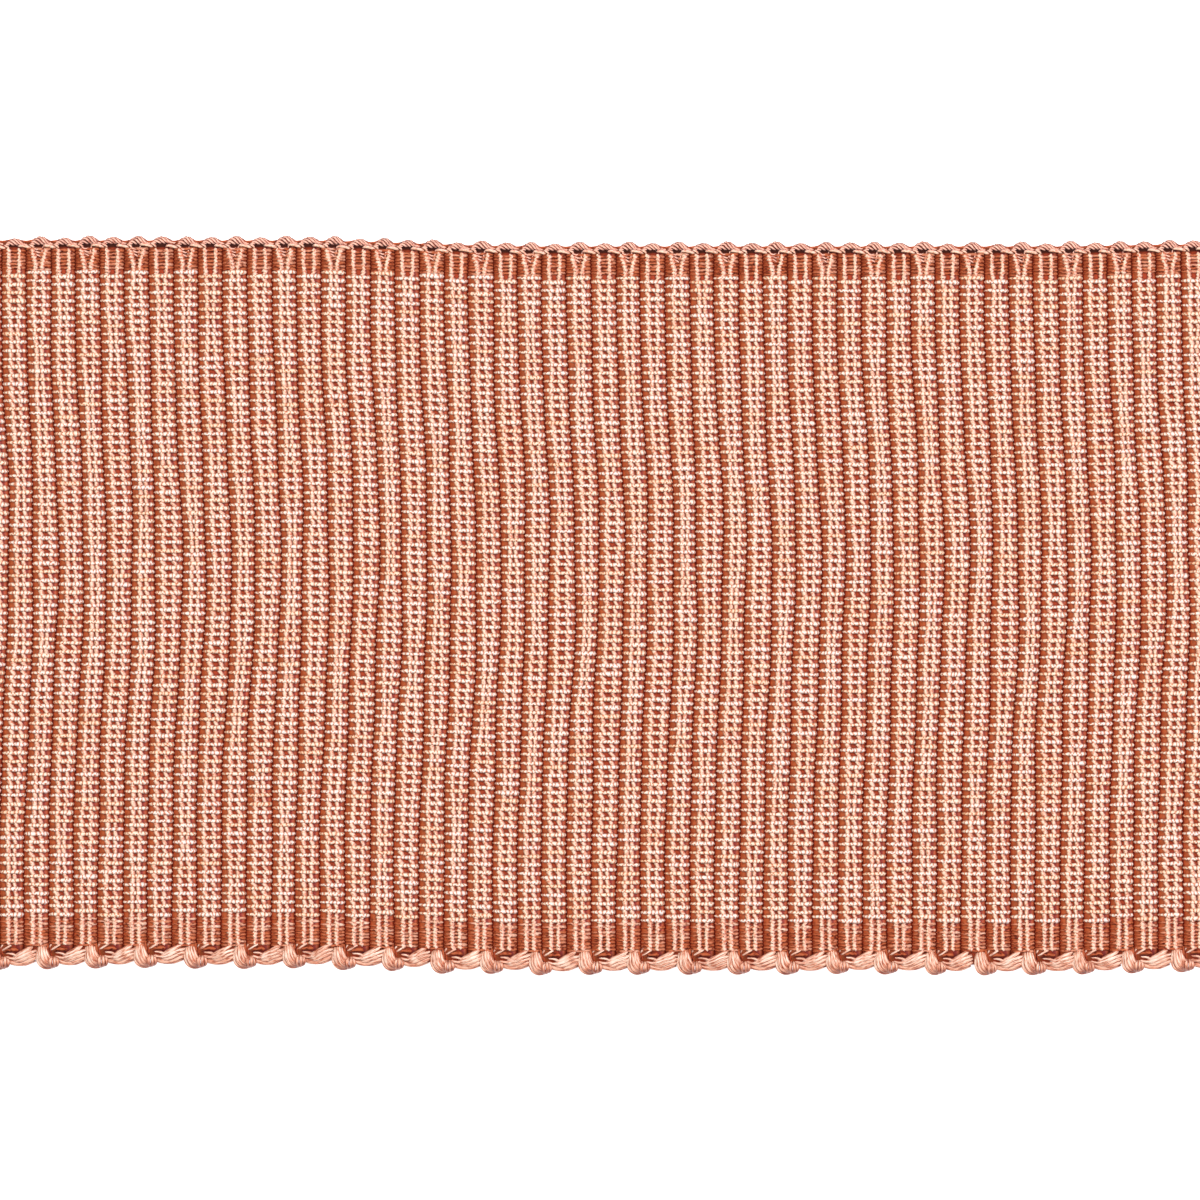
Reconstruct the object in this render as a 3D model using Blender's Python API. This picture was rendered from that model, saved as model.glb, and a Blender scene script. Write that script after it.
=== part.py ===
"""Faille tape trim: a cut length of ribbed woven tape, lying flat on its back.

+X runs along the tape, +Y across it towards the looped edge, and +Z up out of its face.
The origin is the middle of the tape, on the surface that it lies on.

The tape is woven in one piece, so it is one solid. Its ribs are thick bundles of weft, packed
side by side and bound by fine warps. At one edge each bundle turns back on itself and shows as
a small loop. At the other edge the bundles are knitted together in pairs and show as knots.
"""

import math
import random
from collections import namedtuple

import bmesh
import bpy
from mathutils import Vector

MM = 0.001

# Driving dimensions
TAPE_WIDTH = 76.2 * MM
TAPE_THICKNESS = 1.9 * MM
RIB_PITCH = 2.55 * MM
RIB_COUNT = 54
RIBS_PER_KNOT = 2
FIRST_KNOT_GROOVE = 1

# One rib's section from groove to groove. along is a share of the rib's width, and height is
# measured from the surface that the tape lies on. The back is flatter than the face.
Corner = namedtuple("Corner", "along height")
FACE_GROOVE = 1.25 * MM
BACK_GROOVE = 0.45 * MM
SHOULDER = 0.91 * TAPE_THICKNESS
FACE_SECTION = (
    Corner(0.00, FACE_GROOVE),
    Corner(0.12, SHOULDER),
    Corner(0.34, TAPE_THICKNESS),
    Corner(0.66, TAPE_THICKNESS),
    Corner(0.88, SHOULDER),
)
BACK_SECTION = (
    Corner(0.00, BACK_GROOVE),
    Corner(0.22, 0.0),
    Corner(0.78, 0.0),
)

# Rows of points near an edge. inset is measured in from that edge at the middle of a loop or a
# knot, and dip is how much further in the row lies between two of them. thick and thin are the
# tape's thickness at those two places.
EdgeRow = namedtuple("EdgeRow", "inset dip thick thin")
LOOP_ROWS = (
    EdgeRow(0.0, 0.65 * MM, 0.55 * MM, 0.35 * MM),
    EdgeRow(0.95 * MM, 0.0, 1.2 * MM, 0.7 * MM),
)
KNOT_ROWS = (
    EdgeRow(0.0, 0.55 * MM, 0.8 * MM, 0.45 * MM),
    EdgeRow(0.9 * MM, 0.25 * MM, 1.8 * MM, 1.0 * MM),
    EdgeRow(1.9 * MM, 0.0, 1.4 * MM, 1.1 * MM),
)
LOW_LOOP = 0.75
KNOT_SHARPNESS = 4

# The plain ribbed stretch between the two edges.
LOOPED_EDGE_DEPTH = 1.9 * MM
KNOTTED_EDGE_DEPTH = 2.7 * MM
BAND_STEPS = 5

# How the ribs lie. They bow to one side a little above the middle, fan out a little towards the
# knotted edge, and are wider and narrower in turn, because the wefts are laid in pairs.
BOW = 0.86 * MM
BOW_SKEW = 0.85
BOW_SHARPNESS = 4
FAN = 0.3 * MM
PAIR_SHIFT = 0.09 * MM
UNEVENNESS = 0.05 * MM
LOOM_SEED = 7

# The tape drifts sideways along its length, and then a little way back.
Drift = namedtuple("Drift", "amount start end")
DRIFTS = (
    Drift(-0.62 * MM, -31.0 * MM, -5.0 * MM),
    Drift(0.2 * MM, 47.0 * MM, 62.0 * MM),
)

TAPE_LENGTH = RIB_COUNT * RIB_PITCH


def clear_scene():
    for thing in list(bpy.data.objects):
        bpy.data.objects.remove(thing)


def spun_yarn(name, colour, roughness):
    """A dyed yarn: no metal, and a soft sheen."""
    material = bpy.data.materials.new(name)
    material.use_nodes = True
    surface = material.node_tree.nodes["Principled BSDF"]
    surface.inputs["Base Color"].default_value = (*colour, 1)
    surface.inputs["Roughness"].default_value = roughness
    surface.inputs["Metallic"].default_value = 0
    return material


def eased(value, start, end):
    """0 before start, 1 after end, and a smooth step between them."""
    share = min(1.0, max(0.0, (value - start) / (end - start)))
    return share * share * (3 - 2 * share)


def drift_at(x):
    """How far the tape lies to one side at x."""
    return sum(d.amount * eased(x, d.start, d.end) for d in DRIFTS)


def groove_shifts():
    """A small shift for each groove, as uneven as a loom leaves them. The cut ends have none."""
    rng = random.Random(LOOM_SEED)
    inner = [rng.uniform(-UNEVENNESS, UNEVENNESS) for _ in range(RIB_COUNT - 1)]
    return [0.0, *inner, 0.0]


GROOVE_SHIFTS = groove_shifts()


def groove_x(groove, y):
    """Where a groove lies along the tape, at y across it."""
    depth = min(1.0, max(0.0, 0.5 - y / TAPE_WIDTH))
    swell = math.sin(math.pi * depth ** BOW_SKEW) ** BOW_SHARPNESS
    middle = math.sin(math.pi * depth) ** 2
    along = groove / RIB_COUNT - 0.5
    pair = PAIR_SHIFT * middle * (-1) ** groove if 0 < groove < RIB_COUNT else 0.0
    return along * (TAPE_LENGTH + 2 * FAN * depth) + BOW * swell + pair + GROOVE_SHIFTS[groove]


def tape_point(place, y, height):
    """A point of the tape. place counts ribs from the left end: 2.5 is the third rib's middle."""
    groove = min(int(place), RIB_COUNT - 1)
    share = place - groove
    x = (1 - share) * groove_x(groove, y) + share * groove_x(groove + 1, y)
    return Vector((x, y + drift_at(x), height))


def loop_fullness(place):
    """1 at the middle of a loop and 0 between two. There is one on each rib, high and low by
    turns."""
    rib = min(int(place), RIB_COUNT - 1)
    return math.sin(math.pi * (place - rib)) ** 2 * (LOW_LOOP if rib % 2 else 1.0)


def knot_fullness(place):
    """1 at a knot and 0 halfway between two. There is one at every second groove."""
    swing = math.cos(math.pi * (place - FIRST_KNOT_GROOVE) / RIBS_PER_KNOT)
    return swing ** KNOT_SHARPNESS


def along_tape(section):
    """One rib's section repeated along the tape, as (place, height), closed at the last groove."""
    points = [(rib + corner.along, corner.height) for rib in range(RIB_COUNT) for corner in section]
    return [*points, (RIB_COUNT, section[0].height)]


def band_row(bm, y):
    """A row of the tape's face and one of its back, with the whole height of the ribs."""
    return [
        [bm.verts.new(tape_point(place, y, height)) for place, height in along_tape(section)]
        for section in (FACE_SECTION, BACK_SECTION)
    ]


def edge_row(bm, row, side, fullness):
    """A row of the face and one of the back near an edge. side is +1 at the looped edge and -1
    at the knotted one."""
    sides = []
    for section, outward in ((FACE_SECTION, 1), (BACK_SECTION, -1)):
        verts = []
        for place, _ in along_tape(section):
            full = fullness(place)
            y = side * (TAPE_WIDTH / 2 - row.inset - row.dip * (1 - full))
            thickness = row.thin + (row.thick - row.thin) * full
            height = TAPE_THICKNESS / 2 + outward * thickness / 2
            verts.append(bm.verts.new(tape_point(place, y, height)))
        sides.append(verts)
    return sides


def build_tape():
    """The whole tape: rows of points from the looped edge to the knotted one, joined into a
    skin, with an end face to each rib at both edges."""
    bm = bmesh.new()
    top = TAPE_WIDTH / 2 - LOOPED_EDGE_DEPTH
    foot = -TAPE_WIDTH / 2 + KNOTTED_EDGE_DEPTH
    rows = [edge_row(bm, row, 1, loop_fullness) for row in LOOP_ROWS]
    rows += [band_row(bm, top + (foot - top) * i / BAND_STEPS) for i in range(BAND_STEPS + 1)]
    rows += [edge_row(bm, row, -1, knot_fullness) for row in reversed(KNOT_ROWS)]

    for (face, back), (next_face, next_back) in zip(rows, rows[1:]):
        near = face + back[::-1]
        far = next_face + next_back[::-1]
        for i in range(len(near)):
            bm.faces.new((near[i - 1], near[i], far[i], far[i - 1]))

    for face, back in (rows[0], rows[-1]):
        for rib in range(RIB_COUNT):
            over = face[rib * len(FACE_SECTION):][:len(FACE_SECTION) + 1]
            under = back[rib * len(BACK_SECTION):][:len(BACK_SECTION) + 1]
            bm.faces.new(over + under[::-1])
    bmesh.ops.recalc_face_normals(bm, faces=list(bm.faces))

    mesh = bpy.data.meshes.new("ribbed_tape")
    bm.to_mesh(mesh)
    bm.free()
    mesh.materials.append(spun_yarn("rust_and_peach_yarn", (0.63, 0.30, 0.21), 0.6))
    tape = bpy.data.objects.new("ribbed_tape", mesh)
    bpy.context.scene.collection.objects.link(tape)
    return tape


def set_on_origin(thing):
    """Moves the tape so that the origin is the middle of its foot."""
    bpy.context.view_layer.update()
    corners = [Vector(corner) for corner in thing.bound_box]
    low = Vector(map(min, zip(*corners)))
    high = Vector(map(max, zip(*corners)))
    thing.location = (-(low.x + high.x) / 2, -(low.y + high.y) / 2, -low.z)


clear_scene()
set_on_origin(build_tape())
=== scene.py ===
"""Faille tape trim: every yarn of the tape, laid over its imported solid, seen from straight above."""

import math
import random

import bpy
import numpy as np
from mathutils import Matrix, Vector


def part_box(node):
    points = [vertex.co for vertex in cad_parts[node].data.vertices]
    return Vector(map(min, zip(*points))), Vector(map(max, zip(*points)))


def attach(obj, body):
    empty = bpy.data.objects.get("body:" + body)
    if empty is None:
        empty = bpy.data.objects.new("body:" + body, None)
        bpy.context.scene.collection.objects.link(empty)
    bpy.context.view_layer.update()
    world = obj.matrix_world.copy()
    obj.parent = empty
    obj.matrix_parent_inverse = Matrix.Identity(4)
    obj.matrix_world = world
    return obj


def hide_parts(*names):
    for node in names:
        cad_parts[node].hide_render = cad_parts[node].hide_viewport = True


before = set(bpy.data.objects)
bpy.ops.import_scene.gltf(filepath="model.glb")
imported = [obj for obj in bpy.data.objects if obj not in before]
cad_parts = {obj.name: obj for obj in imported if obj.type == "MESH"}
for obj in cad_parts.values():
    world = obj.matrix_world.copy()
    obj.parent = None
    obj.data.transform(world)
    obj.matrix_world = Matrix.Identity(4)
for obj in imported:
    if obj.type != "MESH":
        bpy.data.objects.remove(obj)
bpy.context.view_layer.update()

# The ground
# Thick rust wefts of dyed spun rayon lie side by side across the tape, one bundle to a rib. The
# fine warps press into them and leave them swollen in between. Sizes are in millimetres, and
# depth is measured from the tips of the loops, across the tape.
MM = 0.001
TAPE_WIDTH = 76.2
RIB_PITCH = 2.55
RIBS = 54
TAPE_LENGTH = RIBS * RIB_PITCH
MIDDLE_HEIGHT = 0.95

# How the ribs lie, as in the solid: bowed, fanned out a little towards the knotted edge, wide
# and narrow by turns, and each groove as uneven as the loom leaves it. WAVER is finer than the
# solid shows.
BOW = 0.86
BOW_SKEW = 0.85
BOW_SHARPNESS = 4
FAN = 0.3
PAIR_SHIFT = 0.065
UNEVENNESS = 0.05
WAVER = 0.13
WAVER_LENGTH = 46.0
# The tape drifts sideways by each of these amounts between two x.
DRIFTS = ((-0.62, -31, -5), (0.2, 47, 62))
loom = random.Random(7)
groove_shifts = np.array([0.0, *(loom.uniform(-UNEVENNESS, UNEVENNESS) for _ in range(RIBS - 1)), 0.0])

# The solid is centred on its own box, and its loops are blunted by its flat facets.
BLUNTED = 0.15
solid_low, solid_high = [np.array(corner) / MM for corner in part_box("ribbed_tape")]
tips_y = solid_high[1] + BLUNTED
middle_x = solid_low[0] + TAPE_LENGTH / 2 + FAN


def eased(value, start, end):
    """0 before start, 1 after end, and a smooth step between them."""
    share = np.clip((value - start) / (end - start), 0, 1)
    return share * share * (3 - 2 * share)


def wander(index, depth, wavelength, seed):
    """A smooth wandering between about -1 and 1 across the tape, different for each index."""
    phases = np.random.default_rng(seed).uniform(0, 2 * np.pi, (3, 2 * RIBS + 2))
    waves = [np.sin(2 * np.pi * depth / wavelength * rate + phase[index])
             for rate, phase in zip((1.0, 1.7, 2.9), phases)]
    return sum(waves) / 2


def groove_line(groove, depth):
    """x of a groove at a depth."""
    share = np.clip(depth / TAPE_WIDTH, 0, 1)
    inner = (groove > 0) & (groove < RIBS)
    swell = BOW * np.sin(np.pi * share ** BOW_SKEW) ** BOW_SHARPNESS
    pair = PAIR_SHIFT * np.where(groove % 2, -1, 1) * np.sin(np.pi * share) ** 2
    waver = WAVER * wander(groove, depth, WAVER_LENGTH, 3) * np.sin(np.pi * share) ** 0.6
    along = (groove / RIBS - 0.5) * (TAPE_LENGTH + 2 * FAN * share)
    return middle_x + along + swell + inner * (pair + waver) + groove_shifts[groove]


def lay(place, depth, height):
    """Points of the tape. place counts ribs from the left end, so 2.5 is the third rib's middle."""
    place, depth, height = np.broadcast_arrays(place, depth, height)
    groove = np.clip(np.floor(place), 0, RIBS - 1).astype(int)
    share = place - groove
    x = (1 - share) * groove_line(groove, depth) + share * groove_line(groove + 1, depth)
    drift = sum(amount * eased(x - middle_x, start, end) for amount, start, end in DRIFTS)
    return np.stack([x, tips_y - depth + drift, height], axis=-1)


# Cream warps cross the ribs between these depths. Each lies over every second rib and under the
# others, and the spacing opens a little towards the knotted edge.
CREAM_WARPS = 154
FIELD_TOP = 3.8
FIELD_FOOT = 70.5
WARPS_OPEN = 0.018


def warp_depth(number):
    """The depth of a cream warp, counted from the looped edge."""
    share = number / (CREAM_WARPS - 1)
    return FIELD_TOP + (FIELD_FOOT - FIELD_TOP) * share * (1 + WARPS_OPEN * (share - 1))


# A rib's section: share of its width, height, and how far it swells between two warps.
GROUND_FACE = np.array((
    (0.00, 1.08, 0.00),
    (0.05, 1.44, 0.02),
    (0.15, 1.66, 0.07),
    (0.30, 1.60, 0.05),
    (0.50, 1.44, 0.06),
    (0.70, 1.50, 0.03),
    (0.87, 1.56, 0.07),
    (0.95, 1.36, 0.03),
))
GROUND_BACK = np.array((
    (0.00, 0.74, 0.00),
    (0.50, 0.14, 0.03),
))
# Rows near the edges: depth, and how much of the rib's height is left there.
TOP_ROWS = ((0.62, 0.2), (1.1, 0.25), (1.3, 0.8), (1.9, 1.0), (2.5, 1.0), (3.1, 1.0))
FOOT_ROWS = ((71.1, 1.0), (71.8, 1.0), (72.5, 1.0), (73.2, 1.0), (73.8, 0.95), (74.3, 0.75),
             (74.8, 0.45), (75.1, 0.2))


def new_mesh(name, parts, material):
    """A mesh from parts. A part is its points in millimetres, its patches of like polygons, each
    a pair of corner numbers and UVs, and a tone for each point, which the material reads."""
    points = np.concatenate([part[0].reshape(-1, 3) for part in parts])
    tones = np.concatenate([np.ravel(part[2]) for part in parts])
    corners, uvs, sizes = [], [], []
    first = 0
    for part_points, patches, _ in parts:
        for numbers, patch_uvs in patches:
            corners.append((numbers + first).ravel())
            uvs.append(patch_uvs.reshape(-1, 2))
            sizes.append(np.full(len(numbers), numbers.shape[1]))
        first += part_points.size // 3
    corners, uvs, sizes = np.concatenate(corners), np.concatenate(uvs), np.concatenate(sizes)
    mesh = bpy.data.meshes.new(name)
    mesh.vertices.add(len(points))
    mesh.vertices.foreach_set("co", (points * MM).ravel())
    mesh.loops.add(len(corners))
    mesh.loops.foreach_set("vertex_index", corners.astype(np.int32))
    mesh.polygons.add(len(sizes))
    mesh.polygons.foreach_set("loop_start", (np.cumsum(sizes) - sizes).astype(np.int32))
    mesh.update(calc_edges=True)
    mesh.uv_layers.new(name="yarn").data.foreach_set("uv", uvs.astype(np.float32).ravel())
    mesh.attributes.new("tone", "FLOAT", "POINT").data.foreach_set("value", tones.astype(np.float32))
    mesh.shade_smooth()
    mesh.materials.append(material)
    return mesh


def put_on_tape(name, mesh):
    """An object that rides with the tape."""
    piece = bpy.data.objects.new(name, mesh)
    bpy.context.scene.collection.objects.link(piece)
    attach(piece, "root")
    return piece


def linear(code):
    """An sRGB hex colour as linear red, green, blue and alpha."""
    channels = [int(code[i:i + 2], 16) / 255 for i in (1, 3, 5)]
    return (*[c / 12.92 if c <= 0.04045 else ((c + 0.055) / 1.055) ** 2.4 for c in channels], 1)


def add_node(material, kind, settings=None, links=None):
    """Adds a node to a material, with its settings and the sockets that feed it."""
    tree = material.node_tree
    node = tree.nodes.new(kind)
    for name, value in (settings or {}).items():
        if name == "stops":
            ramp = node.color_ramp.elements
            ramp.remove(ramp[1])
            ramp[0].position, ramp[0].color = value[0][0], linear(value[0][1])
            for position, colour in value[1:]:
                ramp.new(position).color = linear(colour)
        elif hasattr(node, name):
            setattr(node, name, value)
        else:
            node.inputs[name].default_value = value
    for name, socket in (links or {}).items():
        tree.links.new(socket, node.inputs[name])
    return node


def new_material(name, settings):
    """A material whose Principled shader has these settings, and that shader."""
    material = bpy.data.materials.new(name)
    material.use_nodes = True
    shader = material.node_tree.nodes["Principled BSDF"]
    for socket, value in settings.items():
        shader.inputs[socket].default_value = value
    return material, shader


def yarn_noise(material, scale, detail=2.0, rotation=0.0):
    """Noise along a yarn: scale is the pattern's repeats across the UV's u and along each mm."""
    uv = add_node(material, "ShaderNodeUVMap", {"uv_map": "yarn"})
    stretched = add_node(material, "ShaderNodeMapping", {
        "Scale": (*scale, 1.0), "Rotation": (0, 0, rotation),
    }, {"Vector": uv.outputs["UV"]})
    return add_node(material, "ShaderNodeTexNoise", {"Scale": 1.0, "Detail": detail},
                    {"Vector": stretched.outputs["Vector"]})


def multiply(material, first, second):
    """The product of two colours, 0 to 1."""
    product = add_node(material, "ShaderNodeMix", {"data_type": "RGBA", "blend_type": "MULTIPLY"})
    product.inputs["Factor"].default_value = 1.0
    material.node_tree.links.new(first, product.inputs["A"])
    material.node_tree.links.new(second, product.inputs["B"])
    return product.outputs["Result"]


def finish_material(material, shader, colour, height, distance):
    """Links a colour and a bump, distance millimetres high, to the shader."""
    relief = add_node(material, "ShaderNodeBump", {"Strength": 0.6, "Distance": distance * MM},
                      {"Height": height})
    material.node_tree.links.new(colour, shader.inputs["Base Color"])
    material.node_tree.links.new(relief.outputs["Normal"], shader.inputs["Normal"])


def spun_rayon_rust():
    """Dyed spun rayon: matt, soft at its edges, with painted shade where the ribs meet and under and
    beside the peach strands, and loose fibres that make its colour uneven. Its left side is a
    warmer strand and its right side a rosier one."""
    material, shader = new_material("spun_rayon_rust", {
        "Roughness": 0.65, "Specular IOR Level": 0.2, "Sheen Weight": 0.1, "Sheen Tint": linear("#FFB08A"),
    })
    uv = add_node(material, "ShaderNodeUVMap", {"uv_map": "yarn"})
    across = add_node(material, "ShaderNodeSeparateXYZ", links={"Vector": uv.outputs["UV"]})
    # Painted shade across the rib: dark at both grooves, under the left peach strand at 0.34, and under and
    # beside the right one from 0.70 to 0.81.
    strands = add_node(material, "ShaderNodeValToRGB", {"stops": (
        (0.00, "#6E0C04"), (0.03, "#7E1608"), (0.06, "#A84824"), (0.12, "#A44C26"), (0.23, "#9E4C26"),
        (0.34, "#8E3014"), (0.50, "#A43E1C"), (0.70, "#8E2C1E"), (0.81, "#8A3230"), (0.89, "#B45A40"),
        (0.955, "#A24424"), (0.975, "#7E1608"), (1.00, "#6E0C04"),
    )}, {"Fac": across.outputs["X"]})
    fuzz = yarn_noise(material, (10.0, 1.8), 3.0)
    streaks = add_node(material, "ShaderNodeMapRange", {"To Min": 0.3, "To Max": 1.7},
                       {"Value": fuzz.outputs["Fac"]})
    # The tone darkens and lightens the rust: painted shade where warps press it and at both edges and in the
    # holes behind the humps, painted light where it swells, and a lighter rust near the knotted edge.
    pressed = add_node(material, "ShaderNodeAttribute", {"attribute_name": "tone"})
    lightness = add_node(material, "ShaderNodeMath", {"operation": "MULTIPLY"})
    material.node_tree.links.new(streaks.outputs["Result"], lightness.inputs[0])
    material.node_tree.links.new(pressed.outputs["Fac"], lightness.inputs[1])
    colour = add_node(material, "ShaderNodeHueSaturation", links={
        "Color": strands.outputs["Color"], "Value": lightness.outputs["Value"],
    })
    finish_material(material, shader, colour.outputs["Color"], fuzz.outputs["Fac"], 0.05)
    return material


def ground_side(section, rows, left, swelling):
    """Points of the ground's face or back, and which are swollen, 1, or pressed, -1."""
    depths = np.array([depth for depth, _ in rows])[:, None]
    fullness = np.array([full for _, full in rows])[:, None]
    shares = np.append(np.tile(section[:, 0], RIBS), 0.0)
    ribs = np.append(np.repeat(np.arange(RIBS), len(section)), RIBS)
    heights = np.append(np.tile(section[:, 1], RIBS), section[0, 1])
    swells = np.append(np.tile(section[:, 2], RIBS), 0.0)
    row_numbers = np.arange(len(rows))[:, None] - left
    turn = np.where((row_numbers + ribs) % 2, 1, -1) * swelling[:, None]
    outward = 1 if section[0, 1] > MIDDLE_HEIGHT else -1
    height = MIDDLE_HEIGHT + (heights - MIDDLE_HEIGHT) * fullness + outward * swells * turn
    return lay(ribs + shares, depths, height), turn


# How light the ground is painted: painted shade where a warp presses it, painted light where it
# swells, and at each depth painted shade in the first rows under the humps and at the foot under
# the knots, with a lighter rust in the strip inside the knotted edge.
PRESSED_SHADE = 0.75
SWOLLEN_LIGHT = 1.05
DEPTH_SHADE_AND_TONES = ((1.1, 0.6), (1.5, 0.95), (3.3, 0.95), (3.8, 1.0), (70.4, 1.0), (71.2, 1.15), (73.3, 1.15),
               (74.0, 0.7))
# Painted shade darkens the hole behind each hump, in the first rows and at these shares of the rib's width.
HOLE_SHADE = 0.12
HOLE_SHARES = (0.3, 0.5, 0.7)
HOLE_ROWS = 2
# Corners that turn by more degrees than this stay sharp, as at the cut ends.
SHARP_TURN = 70


def build_ground(material):
    """The whole ground: its face and back with a row of points at each warp, and both edges."""
    field = [(depth, 1.0) for depth in warp_depth(np.arange(CREAM_WARPS))]
    rows = [*TOP_ROWS, *field, *FOOT_ROWS]
    swelling = np.zeros(len(rows))
    swelling[len(TOP_ROWS):len(TOP_ROWS) + CREAM_WARPS] = 1
    face, face_turn = ground_side(GROUND_FACE, rows, len(TOP_ROWS), swelling)
    back, back_turn = ground_side(GROUND_BACK, rows, len(TOP_ROWS), swelling)
    points = np.concatenate([face, back[:, ::-1]], axis=1)
    turn = np.concatenate([face_turn, back_turn[:, ::-1]], axis=1)
    depth = np.array([row_depth for row_depth, _ in rows])
    tone = PRESSED_SHADE + (SWOLLEN_LIGHT - PRESSED_SHADE) * (turn + 1) / 2
    tone = tone * np.interp(depth, *zip(*DEPTH_SHADE_AND_TONES))[:, None]
    holes = np.flatnonzero(np.isin(np.tile(GROUND_FACE[:, 0], RIBS), HOLE_SHARES))
    tone[:HOLE_ROWS, holes] = HOLE_SHADE
    around = points.shape[1]
    numbers = np.arange(points.size // 3).reshape(len(rows), around)
    near = np.roll(numbers, 1, axis=1)
    skin = np.stack([near[:-1], numbers[:-1], numbers[1:], near[1:]], axis=-1).reshape(-1, 4)

    face_ends = np.append(GROUND_FACE[1:, 0], 1.0)
    back_ends = np.append(GROUND_BACK[1:, 0], 1.0)
    start = np.concatenate([[0], np.tile(GROUND_FACE[:, 0], RIBS), [0], np.tile(back_ends[::-1], RIBS)])
    end = np.concatenate([[0], np.tile(face_ends, RIBS), [0], np.tile(GROUND_BACK[::-1, 0], RIBS)])
    u = np.broadcast_to(np.stack([start, end, end, start], axis=-1), (len(rows) - 1, around, 4))
    v = np.stack([depth[:-1], depth[:-1], depth[1:], depth[1:]], axis=-1)[:, None, :]
    uvs = np.stack([u, np.broadcast_to(v, u.shape)], axis=-1).reshape(-1, 4, 2)

    patches = [(skin, uvs)]
    face_count, back_count = len(GROUND_FACE), len(GROUND_BACK)
    for row, turn_round in ((0, 1), (len(rows) - 1, -1)):
        ends = []
        for rib in range(RIBS):
            over = numbers[row, rib * face_count:(rib + 1) * face_count + 1]
            foot = around - 1 - rib * back_count
            under = numbers[row, foot - back_count:foot + 1]
            ends.append(np.concatenate([over, under])[::-turn_round])
        ends = np.array(ends)
        patches.append((ends, np.zeros((*ends.shape, 2))))
    mesh = new_mesh("rib_ground", [(points, patches, tone)], material)
    mesh.set_sharp_from_angle(angle=math.radians(SHARP_TURN))
    return put_on_tape("rib_ground", mesh)


ground = build_ground(spun_rayon_rust())
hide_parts("ribbed_tape")


# The peach strands
# Two fine two-ply strands of bright peach rayon lie on each rib, either side of its middle. The
# cream warps pinch them at every crossing, and between two crossings one ply shows as a lobe.
STRAND_SIDES = 4
PAIR_MIDDLE = 0.525
LEFT_STRAND = {"half_width": 0.25, "half_height": 0.19, "height": 1.67}
RIGHT_STRAND = {"half_width": 0.22, "half_height": 0.18, "height": 1.66}


def sweep(paths, half_widths, half_heights, sides, tones=0.0):
    """Yarns with an oval section along paths, an array of yarn, station and x, y, z. Each has
    flat ends. A UV runs once around the yarn, and along it in millimetres."""
    yarns, stations, _ = paths.shape
    ahead = np.gradient(paths, axis=1)
    ahead /= np.linalg.norm(ahead, axis=-1, keepdims=True) + 1e-9
    sideways = np.cross(ahead, (0.0, 0.0, 1.0))
    sideways /= np.linalg.norm(sideways, axis=-1, keepdims=True) + 1e-9
    upward = np.cross(sideways, ahead)
    angles = np.arange(sides) * 2 * np.pi / sides + np.pi / 2
    width = np.broadcast_to(half_widths, (yarns, stations))[:, :, None, None]
    height = np.broadcast_to(half_heights, (yarns, stations))[:, :, None, None]
    ring = sideways[:, :, None] * np.cos(angles)[:, None] * width
    ring = ring + upward[:, :, None] * np.sin(angles)[:, None] * height
    points = paths[:, :, None] + ring

    numbers = np.arange(yarns * stations * sides).reshape(yarns, stations, sides)
    after = np.roll(numbers, -1, axis=2)
    skin = np.stack([numbers[:, :-1], after[:, :-1], after[:, 1:], numbers[:, 1:]], axis=-1)
    steps = np.linalg.norm(np.diff(paths, axis=1), axis=-1)
    run = np.concatenate([np.zeros((yarns, 1)), np.cumsum(steps, axis=1)], axis=1)
    run = run + 7.3 * np.arange(yarns)[:, None]
    low = np.broadcast_to((np.arange(sides) / sides), (yarns, stations - 1, sides))
    begin = np.broadcast_to(run[:, :-1, None], low.shape)
    finish = np.broadcast_to(run[:, 1:, None], low.shape)
    u = np.stack([low, low + 1 / sides, low + 1 / sides, low], axis=-1)
    v = np.stack([begin, begin, finish, finish], axis=-1)
    patches = [(skin.reshape(-1, 4), np.stack([u, v], axis=-1).reshape(-1, 4, 2))]
    for end in (numbers[:, 0, ::-1], numbers[:, -1]):
        patches.append((end, np.zeros((*end.shape, 2))))
    tone = np.broadcast_to(np.asarray(tones), (yarns, stations))[:, :, None]
    return points, patches, np.broadcast_to(tone, points.shape[:3])


USUAL_LOOSENESS = 0.45
LOOSER_IF_WIDE = 4.5
LOOSE_WANDER = 0.3
LOOSE_WANDER_LENGTH = 23.0


def looseness(rib, depth):
    """How far apart a rib's two strands lie, from 0, close, to 1, far. Wide ribs are looser."""
    width = groove_line(rib + 1, depth) - groove_line(rib, depth)
    wandering = LOOSE_WANDER * wander(rib, depth, LOOSE_WANDER_LENGTH, 11)
    return np.clip(USUAL_LOOSENESS + LOOSER_IF_WIDE * (width / RIB_PITCH - 1) + wandering, 0, 1)


# From one crossing to the next: share of the way, sideways lobe, rise and fullness.
LOBE = np.array((
    (0.00, 0.0, -0.10, 0.80),
    (0.28, -1.0, 0.02, 1.05),
    (0.72, 1.0, 0.02, 1.05),
))
SELVEDGE_TWIST = 0.34
STRAND_TOP = 1.38
STRAND_FOOT = 73.6
# Half of the distance between a rib's two strands: at the top, where those of every second rib
# are spread and then drawn in, in the field, where they are close or looser, and at the foot.
TOP_APART = 0.56
TOP_SPREAD = 0.14
TOP_DRAWN_IN = 0.24
FIELD_APART = 0.28
FIELD_LOOSER = 0.29
FOOT_APART = 0.39
# How far the lobes swing to the sides at the edges, and how much that changes in the field.
EDGE_SWING = 0.085
LOOSE_SWING = 0.12
TIGHT_SWING = 0.055


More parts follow.
